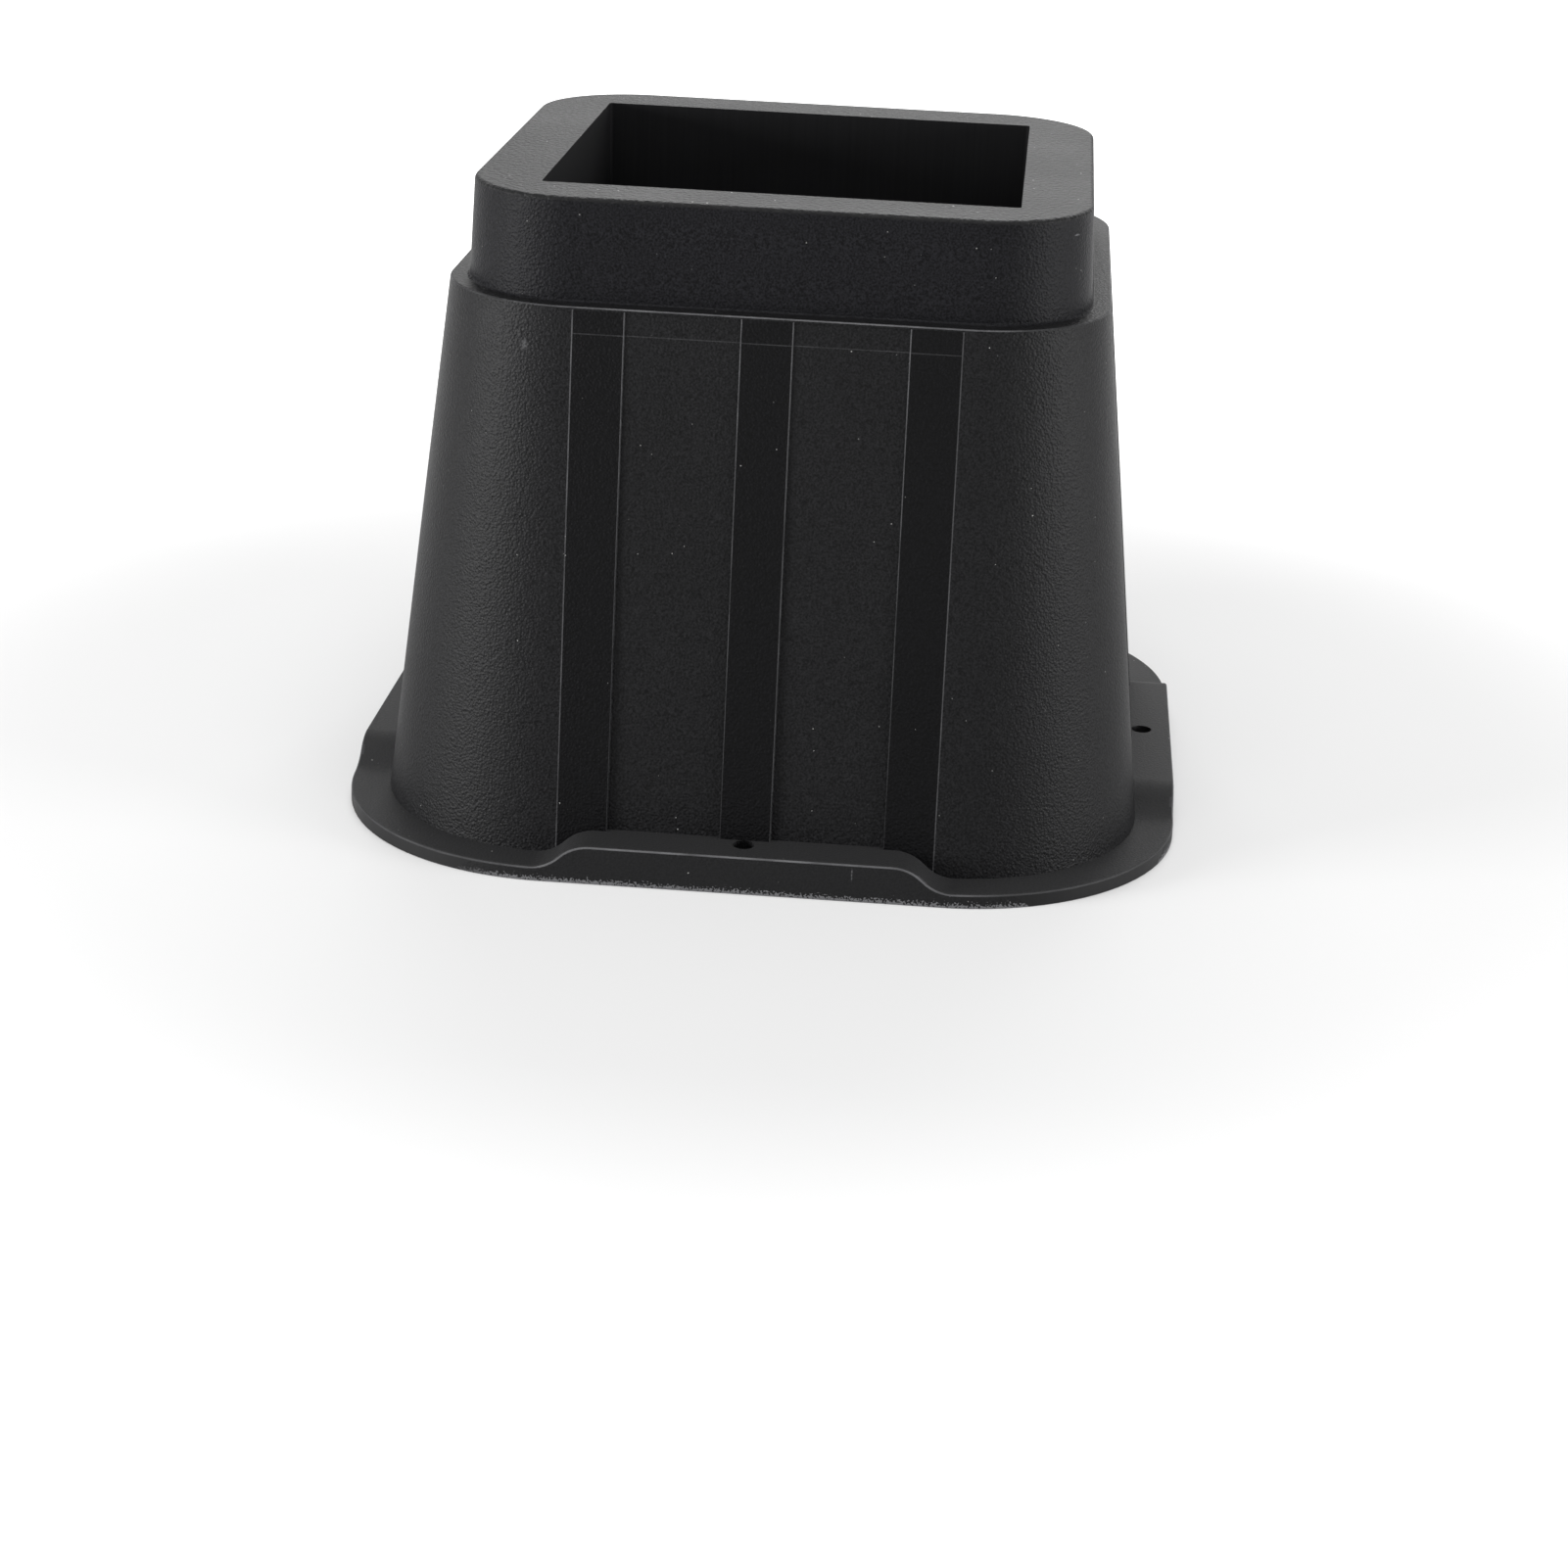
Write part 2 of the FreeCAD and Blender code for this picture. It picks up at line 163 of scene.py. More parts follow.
def work_out(tree: Tree, operation: str, *values: Socket | float) -> Socket:
    """Add a Math node.

    Args:
        tree: the node tree to add to.
        operation: the name of the sum.
        values: numbers or output sockets, in the order of the node's inputs.

    Returns:
        The output socket with the result.
    """
    node = add_node(tree, "ShaderNodeMath", {"operation": operation}, dict(enumerate(values)))
    return node.outputs[0]


def vector_math(tree: Tree, operation: str, inputs: dict) -> bpy.types.Node:
    """Add a Vector Math node.

    Args:
        tree: the node tree to add to.
        operation: the name of the sum.
        inputs: the node's inputs.

    Returns:
        The node.
    """
    return add_node(tree, "ShaderNodeVectorMath", {"operation": operation}, inputs)


def blend_colours(
    tree: Tree, share: Socket, first: Socket | Colour, second: Socket | Colour
) -> Socket:
    """Mix two colours.

    Args:
        tree: the node tree to add to.
        share: how much of the second colour shows.
        first: a colour or a socket.
        second: a colour or a socket.

    Returns:
        The output socket with the mixed colour.
    """
    node = add_node(
        tree, "ShaderNodeMix", {"data_type": "RGBA"}, {"Factor": share, 6: first, 7: second}
    )
    return node.outputs[2]


def shaded(tree: Tree, colour: Socket | Colour, factor: Socket) -> Socket:
    """Make a colour lighter or darker.

    Args:
        tree: the node tree to add to.
        colour: the colour or a socket.
        factor: what its red, green and blue are multiplied by.

    Returns:
        The output socket with the new colour.
    """
    start = colour if isinstance(colour, Socket) else colour[:3]
    return vector_math(tree, "SCALE", {0: start, "Scale": factor}).outputs[0]


def noise(tree: Tree, point: Socket, feature_mm: float, detail: float) -> Socket:
    """Add a noise texture.

    Args:
        tree: the node tree to add to.
        point: the socket with the place on the piece.
        feature_mm: the size of one feature of the noise.
        detail: how many finer layers are added.

    Returns:
        The output socket with the noise, around one half.
    """
    inputs = {"Vector": point, "Scale": per_metre(feature_mm), "Detail": detail}
    return add_node(tree, "ShaderNodeTexNoise", inputs=inputs).outputs["Fac"]


def ramp(
    tree: Tree, value: Socket, given: Span, wanted: Span, easing: str = "LINEAR"
) -> Socket:
    """Map a value from one span to another, and stop at both ends.

    Args:
        tree: the node tree to add to.
        value: the socket to map.
        given: two values of it.
        wanted: what they become.
        easing: the form of the way between them.

    Returns:
        The output socket with the mapped value.
    """
    inputs = {
        "Value": value, "From Min": given[0], "From Max": given[1],
        "To Min": wanted[0], "To Max": wanted[1],
    }
    return add_node(tree, "ShaderNodeMapRange", {"interpolation_type": easing}, inputs).outputs[0]


def every(tree: Tree, *masks: Socket | float) -> Socket:
    """Multiply masks together, so that only what all of them cover is left.

    Args:
        tree: the node tree to add to.
        masks: the masks, with plain numbers to weaken them.

    Returns:
        The output socket with what is left.
    """
    result = masks[0]
    for mask in masks[1:]:
        result = work_out(tree, "MULTIPLY", result, mask)
    return result


def any_of(tree: Tree, *masks: Socket) -> Socket:
    """Take the strongest of several masks at each point.

    Args:
        tree: the node tree to add to.
        masks: the masks.

    Returns:
        The output socket with the strongest.
    """
    result = masks[0]
    for mask in masks[1:]:
        result = work_out(tree, "MAXIMUM", result, mask)
    return result


def relief(tree: Tree, height: Socket) -> Socket:
    """Raise a surface by a true height.

    Args:
        tree: the node tree to add to.
        height: the socket with the height in metres.

    Returns:
        The output socket with the changed normal.
    """
    inputs = {"Strength": 1.0, "Distance": 1.0, "Height": height}
    return add_node(tree, "ShaderNodeBump", inputs=inputs).outputs[0]


def dust_specks(tree: Tree, point: Socket, spacing_mm: float, size_mm: float) -> Socket:
    """Scatter small specks of dust, most of them faint and a few of them bright.

    Args:
        tree: the material's node tree.
        point: the socket with the place on the piece.
        spacing_mm: the size of the cells that hold one speck each.
        size_mm: the radius of a speck.

    Returns:
        A socket that is above zero on the specks.
    """
    cells = add_node(
        tree, "ShaderNodeTexVoronoi", inputs={"Vector": point, "Scale": per_metre(spacing_mm)}
    )
    near = work_out(tree, "LESS_THAN", cells.outputs["Distance"], size_mm / spacing_mm)
    chance = add_node(tree, "ShaderNodeSeparateColor", inputs={0: cells.outputs["Color"]})
    return every(tree, near, chance.outputs[0], chance.outputs[0])


def material_with(name: str) -> tuple[bpy.types.Material, Tree]:
    """Make a material with an empty node tree.

    Args:
        name: the material's name.

    Returns:
        The material and its tree.
    """
    material = bpy.data.materials.new(name)
    material.use_nodes = True
    material.node_tree.nodes.clear()
    return material, material.node_tree


def seen_by_eye(tree: Tree) -> Socket:
    """Tell the rays that the eye follows from those that only carry light.

    Args:
        tree: the node tree to add to.

    Returns:
        A socket that is one for camera, glossy and transmission rays.
    """
    path = add_node(tree, "ShaderNodeLightPath").outputs
    return any_of(
        tree, path["Is Camera Ray"], path["Is Glossy Ray"], path["Is Transmission Ray"]
    )


class Zone(Enum):
    """The parts of the moulding that the mould steel finished differently."""

    WALL = 0
    COLLAR = 1
    FLANGE = 2
    RIM = 3
    CUP = 4
    UNDERSIDE = 5
    SKIRT = 6


@dataclass(frozen=True)
class Layout:
    """Sizes of the riser that the looks follow, in millimetres.

    Half widths are measured from the axis to the flat of a side. The core is the
    square that the round corners of collar and body are centred on. The flange
    reach lies between the foot of the body and the flange's edge, past the core.
    What is deeper than the inside depth behind the outer face is hidden, and the
    hollow of a platform starts at its inner half width.
    """

    height: float = 127.0
    ledge_height: float = 107.5
    corner_core: float = 37.8
    rim_half: float = 59.1
    collar_foot_half: float = 60.0
    ledge_half: float = 63.7
    foot_half: float = 75.85
    flange_half: float = 83.25
    flange_corner: float = 45.0
    flange_reach: float = 41.0
    flange_thickness: float = 2.8
    platform_height: float = 7.6
    platform_half: float = 28.8
    platform_inner: float = 69.85
    opening_half: float = 45.4
    cup_floor: float = 88.0
    wall: float = 3.0
    inside_depth: float = 2.1
    strip_half_width: float = 4.85
    strip_spacing: float = 31.5
    panel_top: float = 106.9
    witness_line: float = 102.5

    def outer_half(self, level: float) -> float:
        """Find the half width of the outer wall at a level above the base.

        Args:
            level: millimetres above the base.

        Returns:
            The distance from the axis to the flat of the wall.
        """
        if level < self.ledge_height - LEVEL_SLACK:
            share = level / self.ledge_height
            return self.foot_half + share * (self.ledge_half - self.foot_half)
        share = (level - self.ledge_height) / (self.height - self.ledge_height)
        return self.collar_foot_half + share * (self.rim_half - self.collar_foot_half)

    def past_core(self, place: Vector) -> Vector:
        """Find how far a point lies outside the square of the corner centres.

        Args:
            place: a point on the moulding, in millimetres.

        Returns:
            The way from that square to the point, level with the base.
        """
        return Vector((
            math.copysign(max(abs(place.x) - self.corner_core, 0.0), place.x),
            math.copysign(max(abs(place.y) - self.corner_core, 0.0), place.y),
            0.0,
        ))

    def corner_centre(self, place: Vector) -> Vector:
        """Find the middle of the round corner that a point belongs to.

        Args:
            place: a point on the outside of the moulding, in millimetres.

        Returns:
            The centre of the corner's curve, level with the base.
        """
        core = self.corner_core
        on_plate = place.z <= self.flange_thickness + CORNER_SLACK
        if on_plate and self.past_core(place).length > self.flange_reach:
            core = self.flange_half - self.flange_corner
        return Vector((math.copysign(core, place.x), math.copysign(core, place.y), 0.0))

    def in_corner(self, place: Vector) -> bool:
        """Tell whether a point lies in one of the four corners of the plan.

        Args:
            place: a point on the moulding, in millimetres.

        Returns:
            True where the plan of the outside is curved.
        """
        return min(abs(place.x), abs(place.y)) > self.corner_core - CORNER_SLACK

    def is_round_corner(self, corners: list[Vector], facing: Vector) -> bool:
        """Tell whether a face is part of a round outer corner.

        Args:
            corners: the corners of the face, in millimetres.
            facing: the face's normal.

        Returns:
            True for the curved faces of the corners.
        """
        middle = sum(corners, Vector()) / len(corners)
        if not all(self.in_corner(place) for place in [middle, *corners]):
            return False
        if abs(facing.z) > SQUARE_ON or self.zone_of(middle, facing) in (Zone.CUP, Zone.UNDERSIDE):
            return False
        return facing.dot(self.past_core(middle)) > 0.0

    def on_curve(self, middle: Vector, ends: list[Vector]) -> Vector:
        """Move the middle of an edge out to the curve that its ends lie on.

        Args:
            middle: the middle of the edge, in millimetres.
            ends: the two ends.

        Returns:
            The point on the curve, at the same height.
        """
        centre = self.corner_centre(middle)
        reach = sum((end - centre).xy.length for end in ends) / len(ends)
        outward = (middle - centre).xy.normalized() * reach
        return Vector((centre.x + outward.x, centre.y + outward.y, middle.z))

    def wall_normal(self, place: Vector, facing: Vector) -> Vector:
        """Find the exact normal at a point of a wall, and elsewhere keep the one given.

        Args:
            place: a corner of a face, in millimetres.
            facing: the normal of that face.

        Returns:
            The normal of the cone or plane that the wall follows.
        """
        outward = self.past_core(place)
        depth = self.outer_half(place.z) - self.corner_core - outward.length
        on_outside = abs(depth) < FACE_SLACK
        on_inside = abs(depth - self.wall) < FACE_SLACK
        if outward.length < SHORTEST_REACH or not (on_outside or on_inside):
            return facing
        if place.z < self.ledge_height:
            lean = (self.foot_half - self.ledge_half) / self.ledge_height
        else:
            lean = (self.collar_foot_half - self.rim_half) / (self.height - self.ledge_height)
        exact = outward.normalized() + Vector((0.0, 0.0, lean))
        if on_inside:
            exact.negate()
        exact.normalize()
        return exact if exact.dot(facing) > ALONG_WALL else facing

    def is_underside(self, place: Vector, facing: Vector) -> bool:
        """Tell whether a face belongs to the hidden inside of the riser.

        Args:
            place: the middle of the face, in millimetres.
            facing: the face's normal.

        Returns:
            True behind the walls, under the flange and inside the platforms.
        """
        outward = self.past_core(place)
        inside = self.outer_half(place.z) - self.corner_core - self.inside_depth
        if outward.length < inside or facing.dot(outward) < INWARD or facing.z < -LOOKS_UP:
            return True
        beside, along = sorted((abs(place.x), abs(place.y)))
        roof = self.flange_thickness + RAMP_SLACK
        if beside < self.platform_half + RAMP_SLACK:
            roof = self.platform_height - ROUNDING_SLACK
        outer_wall = self.flange_half - self.wall + EDGE_SLACK
        return place.z < roof and facing.z < ROOF_RISE and self.platform_inner < along < outer_wall

    def zone_of(self, place: Vector, facing: Vector) -> Zone:
        """Tell which finish a face of the moulding has.

        Args:
            place: the middle of the face, in millimetres.
            facing: the face's normal.

        Returns:
            The zone that the face belongs to.
        """
        along = max(abs(place.x), abs(place.y))
        if place.z > self.cup_floor - EDGE_SLACK and along < self.opening_half + EDGE_SLACK:
            return Zone.CUP
        if place.z > self.height - ROUNDING_SLACK and facing.z > RIM_RISE:
            return Zone.RIM
        if self.is_underside(place, facing):
            return Zone.UNDERSIDE
        off_wall = self.past_core(place).length - (self.outer_half(place.z) - self.corner_core)
        below_deck = place.z < self.platform_height + LEVEL_SLACK
        if below_deck and facing.z > LOOKS_UP:
            return Zone.FLANGE
        if below_deck and off_wall > FOOT_SLACK:
            return Zone.SKIRT
        return Zone.COLLAR if place.z > self.ledge_height + LEVEL_SLACK else Zone.WALL


@dataclass(frozen=True)
class Place:
    """Sockets that tell a material where on the riser a point lies and how it faces.

    Crosswise is the place from left to right, level the height above the base,
    along the place along the side that the point is on, and off_core the distance
    past the core. Tilt is the upward part of the normal.
    """

    tree: Tree
    layout: Layout
    point: Socket
    crosswise: Socket
    level: Socket
    along: Socket
    off_core: Socket
    tilt: Socket

    @classmethod
    def make(cls, tree: Tree, layout: Layout) -> "Place":
        """Add the nodes that work out the place.

        Args:
            tree: the material's node tree.
            layout: where the features of the moulding lie.

        Returns:
            The place as a set of sockets.
        """
        source = add_node(tree, "ShaderNodeTexCoord")
        point = source.outputs["Object"]
        axes = add_node(tree, "ShaderNodeSeparateXYZ", inputs={0: point}).outputs
        facing = add_node(
            tree, "ShaderNodeSeparateXYZ", inputs={0: source.outputs["Normal"]}
        ).outputs
        faces_x = work_out(
            tree, "GREATER_THAN",
            work_out(tree, "ABSOLUTE", facing["X"]), work_out(tree, "ABSOLUTE", facing["Y"]),
        )
        along = add_node(
            tree, "ShaderNodeMix", {"data_type": "FLOAT"},
            {"Factor": faces_x, 2: axes["X"], 3: axes["Y"]},
        ).outputs[0]
        squares = []
        for axis in ("X", "Y"):
            reach = work_out(tree, "ABSOLUTE", axes[axis])
            past = work_out(tree, "SUBTRACT", reach, metres(layout.corner_core))
            squares.append(work_out(tree, "POWER", work_out(tree, "MAXIMUM", past, 0.0), 2.0))
        off_core = work_out(tree, "SQRT", work_out(tree, "ADD", *squares))
        return cls(tree, layout, point, axes["X"], axes["Z"], along, off_core, facing["Z"])

    def near(self, value: Socket, middle_mm: float, slack_mm: float) -> Socket:
        """Mask the points where a length is about as long as another.

        Args:
            value: the socket with the length.
            middle_mm: what it is compared with.
            slack_mm: how far it may be off.

        Returns:
            A socket that is one there.
        """
        return work_out(self.tree, "COMPARE", value, metres(middle_mm), metres(slack_mm))

    def beyond(self, value: Socket, bound_mm: float) -> Socket:
        """Mask the points where a length is longer than a bound.

        Args:
            value: the socket with the length.
            bound_mm: the bound.

        Returns:
            A socket that is one there.
        """
        return work_out(self.tree, "GREATER_THAN", value, metres(bound_mm))

    def within(self, value: Socket, bound_mm: float) -> Socket:
        """Mask the points where a length is shorter than a bound.

        Args:
            value: the socket with the length.
            bound_mm: the bound.

        Returns:
            A socket that is one there.
        """
        return work_out(self.tree, "LESS_THAN", value, metres(bound_mm))

    def tilted(self, middle: float, slack: float) -> Socket:
        """Mask the faces that rise from the upright by about a given part.

        Args:
            middle: the upward part of the normal.
            slack: how far it may be off.

        Returns:
            A socket that is one there.
        """
        return work_out(self.tree, "COMPARE", self.tilt, middle, slack)

    def upright(self) -> Socket:
        """Mask the faces that stand about upright.

        Returns:
            A socket that is one there.
        """
        return self.tilted(0.0, UPRIGHT_SLACK)


@dataclass(frozen=True)
class StripEdge:
    """One upright edge of a flush strip, and how bright the painted highlight along it is at its
    two ends.

    The strip is -1, 0 or 1 from left to right, and the side is -1 for its left
    edge and 1 for its right edge.
    """

    strip: int
    side: int
    top: float
    foot: float

    def place_mm(self, layout: Layout) -> float:
        """Find where the edge runs.

        Args:
            layout: the width and spacing of the strips.

        Returns:
            How far it lies to the right of the middle of the wall.
        """
        return self.strip * layout.strip_spacing + self.side * layout.strip_half_width


@dataclass(frozen=True)
class Mark:
    """One pale wear mark, with half its size along each axis, in millimetres."""

    place_mm: tuple[float, float, float]
    reach_mm: tuple[float, float, float]
    strength: float


@dataclass(frozen=True)
class Finish(ABC):
    """What the finishes of the moulding share: a tone, a gloss and a shade that drifts.

    The shades are the factors that the tone drifts between, and the roughness
    swings to both sides of its middle.
    """

    name: str
    body: str
    shades: Span
    roughness: float
    specular: float
    roughness_swing: float = 0.0
    ior: float = 1.49

    def build(self, layout: Layout) -> bpy.types.Material:
        """Make the material.

        Args:
            layout: where the features of the moulding lie.

        Returns:
            The finished material.
        """
        material, tree = material_with(self.name)
        colour, roughness, normal = self.look(tree, layout)
        shader = add_node(tree, "ShaderNodeBsdfPrincipled", inputs={
            "Base Color": colour, "Roughness": roughness, "Normal": normal,
            "Specular IOR Level": self.specular, "IOR": self.ior,
        })
        add_node(tree, "ShaderNodeOutputMaterial", inputs={"Surface": shader.outputs[0]})
        return material

    @abstractmethod
    def look(self, tree: Tree, layout: Layout) -> tuple[Socket, Socket | float, Socket]:
        """Add the nodes that give the finish its colour, roughness and relief.

        Args:
            tree: the material's node tree.
            layout: where the features of the moulding lie.

        Returns:
            The colour, the roughness and the normal.
        """

    def drift(self, tree: Tree, cloud: Socket) -> Socket:
        """Let the shade drift between its two ends.

        Args:
            tree: the material's node tree.
            cloud: the noise that it follows.

        Returns:
            The socket with the factor for the colour.
        """
        return ramp(tree, cloud, FULL, self.shades)

    def uneven(self, tree: Tree, cloud: Socket) -> Socket:
        """Let the roughness swing.

        Args:
            tree: the material's node tree.
            cloud: the noise that it follows.

        Returns:
            The socket with the roughness.
        """
        swing = self.roughness_swing
        return ramp(tree, cloud, FULL, (self.roughness - swing, self.roughness + swing))


@dataclass(frozen=True)
class SparkGrainedPolypropylene(Finish):
    """Polypropylene moulded against spark-eroded steel.

    The fine leathery grain breaks the light up, so that the walls look matt and
    slightly mottled. The strips were left as ground steel, so they look a little
    darker, and pale lines are painted along their edges as highlights. The rounded
    edges of the ledge and the flange get painted highlights too, and the bottom
    edge has a torn burr. The grain is drawn coarser than it is, because the real
    one is too fine to show.
    """

    name: str = "spark_grained_black_polypropylene"
    body: str = "#131314"
    strip: str = "#050506"
    # Pale colour for real wear, the burr and the witness line, and for the painted highlights on
    # the strip edges and the rounded ledge and flange edges.
    scuff_and_highlight: str = "#69696b"
    dust: str = "#a4a4a2"
    shades: Span = (0.8, 1.2)
    roughness: float = 0.48
    roughness_swing: float = 0.15
    specular: float = 0.09
    grain_mm: float = 0.5
    grain_smoothness: float = 0.6
    grain_depth_mm: float = 0.11
    fine_grain_mm: float = 0.4
    fine_share: float = 0.5
    cloud_mm: float = 28.0
    mottle: float = 0.6
    mottle_noise: Span = (0.35, 0.65)
    edge_line_mm: float = 0.24
    witness_line_mm: float = 0.2
    witness_strength: float = 0.24
    break_mm: float = 6.0
    break_noise: Span = (0.3, 0.6)
    break_strength: Span = (0.5, 1.0)
    edge_round_mm: float = 0.5
    edge_depth_mm: float = 0.85
    ledge_edge_tilt: Span = (0.55, 0.33)
    flange_edge_tilt: Span = (0.5, 0.3)
    # The painted highlight on the rounded edges fades out towards the corners and is broken up by
    # noise.
    highlight_fade_mm: Span = (36.0, 52.0)
    highlight_falloff: Span = (1.0, 0.25)
    highlight_noise: Span = (0.3, 0.65)
    highlight_strength: Span = (0.25, 0.65)
    burr_mm: float = 0.4
    burr_height_mm: float = 1.9
    burr_noise: Span = (0.36, 0.8)
    burr_start_mm: Span = (-53.0, -45.0)
    burr_strength: Span = (0.15, 0.75)
    mark_core: float = 0.4
    crumb_noise: Span = (0.4, 0.55)
    crumb_strength: Span = (0.3, 1.0)
    dust_spacing_mm: float = 3.2
    dust_size_mm: float = 0.12
    # Strength of the painted highlight at the top and at the foot of each strip edge.
    strip_edges: tuple[StripEdge, ...] = (
        StripEdge(-1, -1, 0.55, 0.3),
        StripEdge(-1, 1, 0.65, 0.12),
        StripEdge(0, -1, 0.7, 0.15),
        StripEdge(0, 1, 0.65, 0.3),
        StripEdge(1, -1, 0.65, 0.08),
        StripEdge(1, 1, 0.35, 0.35),
    )
    marks: tuple[Mark, ...] = (
        Mark((56.15, -48.93, 123.22), (0.9, 1.1, 0.2), 0.9),
        Mark((21.26, -83.24, 5.5), (0.16, 0.6, 1.6), 0.6),
        Mark((-45.38, -63.48, 99.6), (0.9, 0.9, 1.4), 0.25),
    )

    def look(self, tree: Tree, layout: Layout) -> tuple[Socket, Socket | float, Socket]:
        """Add the grain, the strips, the wear, the painted edge highlights and the dust.

        Args:
            tree: the material's node tree.
            layout: where the strips and lines of the moulding lie.

        Returns:
            The colour, the roughness and the normal.
        """
        place = Place.make(tree, layout)
        wall = self.wall(place)
        strip = self.strips(place, wall)
        fine = noise(tree, place.point, self.fine_grain_mm, detail=2.0)
        broken = noise(tree, place.point, self.break_mm, detail=3.0)

        shade = self.drift(tree, noise(tree, place.point, self.cloud_mm, detail=4.0))
        mottle = ramp(tree, fine, self.mottle_noise, (1.0 - self.mottle, 1.0 + self.mottle))
        plain = blend_colours(tree, strip, linear(self.body), linear(self.strip))
        colour = shaded(tree, plain, every(tree, shade, mottle))
        # Pale marks: real wear, the burr and the witness line, with the painted highlights on the
        # strip edges and the rounded edges.
        scuffs_and_highlights = any_of(
            tree,
            self.strip_highlight_lines(place, wall, broken),
            self.witness_line(place, broken),
            self.edge_highlights(place, broken),
            self.burr(place),
            *(self.worn_spot(place, fine, mark) for mark in self.marks),
        )
        colour = blend_colours(tree, scuffs_and_highlights, colour, linear(self.scuff_and_highlight))
        specks = dust_specks(tree, place.point, self.dust_spacing_mm, self.dust_size_mm)
        colour = blend_colours(tree, specks, colour, linear(self.dust))
        return colour, self.uneven(tree, fine), self.grain(place, fine)

    def wall(self, place: Place) -> Socket:
        """Mask the body's walls between the flange and the ledge.

        Args:
            place: where the point lies.

        Returns:
            A socket that is one on the walls.
        """
        layout = place.layout
        return every(
            place.tree,
            place.upright(),
            place.within(place.level, layout.panel_top),
            place.beyond(place.level, layout.flange_thickness),
            place.within(place.off_core, layout.foot_half - layout.corner_core + EDGE_SLACK),
        )

    def strips(self, place: Place, wall: Socket) -> Socket:
        """Mask the three strips of each side.

        Args:
            place: where the point lies.
            wall: the mask of the walls.

        Returns:
            A socket that is one on the strips.
        """
        layout = place.layout
        reach = work_out(place.tree, "ABSOLUTE", place.along)
        middle = place.near(reach, 0.0, layout.strip_half_width)
        outer = place.near(reach, layout.strip_spacing, layout.strip_half_width)
        return every(place.tree, wall, any_of(place.tree, middle, outer))

    def grain(self, place: Place, fine: Socket) -> Socket:
        """Raise the leathery grain: rounded cells with a finer roughness on them.

        Args:
            place: where the point lies.
            fine: the finer roughness.

        Returns:
            The socket with the roughened normal.
        """
        tree = place.tree
        cells = add_node(
            tree, "ShaderNodeTexVoronoi", {"feature": "SMOOTH_F1"},
            {
                "Vector": place.point, "Scale": per_metre(self.grain_mm),
                "Smoothness": self.grain_smoothness,
            },
        ).outputs["Distance"]
        pattern = work_out(tree, "ADD", cells, work_out(tree, "MULTIPLY", fine, self.fine_share))
        return relief(tree, work_out(tree, "MULTIPLY", pattern, metres(self.grain_depth_mm)))

    def strip_highlight_lines(self, place: Place, wall: Socket, broken: Socket) -> Socket:
        """Paint a highlight line along each edge of the strips.

        Args:
            place: where the point lies.
            wall: the mask of the walls.
            broken: the noise that breaks the lines up.

        Returns:
            A socket that is above zero on the lines.
        """
        tree = place.tree
        heights = (metres(place.layout.platform_height), metres(place.layout.ledge_height))
        lines = []
        for edge in self.strip_edges:
            line = place.near(place.along, edge.place_mm(place.layout), self.edge_line_mm / 2)
            line_brightness = ramp(tree, place.level, heights, (edge.foot, edge.top))
            lines.append(every(tree, line, line_brightness))
        gaps = ramp(tree, broken, self.break_noise, self.break_strength)
        return every(tree, wall, any_of(tree, *lines), gaps)

    def witness_line(self, place: Place, broken: Socket) -> Socket:
        """Draw the faint level line that a joint in the mould left under the ledge.

        Args:
            place: where the point lies.
            broken: the noise that breaks the line up.

        Returns:
            A socket that is above zero on the line.
        """
        layout = place.layout
        line = place.near(place.level, layout.witness_line, self.witness_line_mm / 2)
        on_flat = place.near(place.along, 0.0, layout.strip_spacing + layout.strip_half_width)
        return every(place.tree, line, on_flat, place.upright(), broken, self.witness_strength)

    def on_flange_edge(self, place: Place) -> Socket:
        """Mask the outer edge of the flange.

        Args:
            place: where the point lies.

        Returns:
            A socket that is one there.
        """
        layout = place.layout
        return place.beyond(
            place.off_core, layout.flange_half - layout.corner_core - self.edge_depth_mm
        )

    def edge_highlights(self, place: Place, broken: Socket) -> Socket:
        """Paint highlights on the rounded edges of the ledge and of the flange.

        Args:
            place: where the point lies.
            broken: the noise that makes the painted highlight uneven.

        Returns:
            A socket that is above zero on the edges.
        """
        tree = place.tree
        half_round = self.edge_round_mm / 2
        ledge = place.near(place.level, place.layout.ledge_height - half_round, half_round)
        on_ledge = every(tree, ledge, place.tilted(*self.ledge_edge_tilt))
        on_flange = every(tree, self.on_flange_edge(place), place.tilted(*self.flange_edge_tilt))
        reach = work_out(tree, "ABSOLUTE", place.along)
        off_middle = ramp(tree, reach, in_metres(self.highlight_fade_mm), self.highlight_falloff)
        patchy = ramp(tree, broken, self.highlight_noise, self.highlight_strength)
        return every(tree, any_of(tree, on_ledge, on_flange), off_middle, patchy)

    def burr(self, place: Place) -> Socket:
        """Fleck the bottom edge pale, where the moulding was trimmed and then rubbed.

        Args:
            place: where the point lies.

        Returns:
            A socket that is above zero on the pale crumbs of the burr.
        """
        tree = place.tree
        crumbs = noise(tree, place.point, self.burr_mm, detail=2.0)
        limit = ramp(tree, place.level, (0.0, metres(self.burr_height_mm)), self.burr_noise)
        return every(
            tree,
            self.on_flange_edge(place),
            place.within(place.level, self.burr_height_mm),
            ramp(tree, place.crosswise, in_metres(self.burr_start_mm), self.burr_strength),
            work_out(tree, "GREATER_THAN", crumbs, limit),
        )

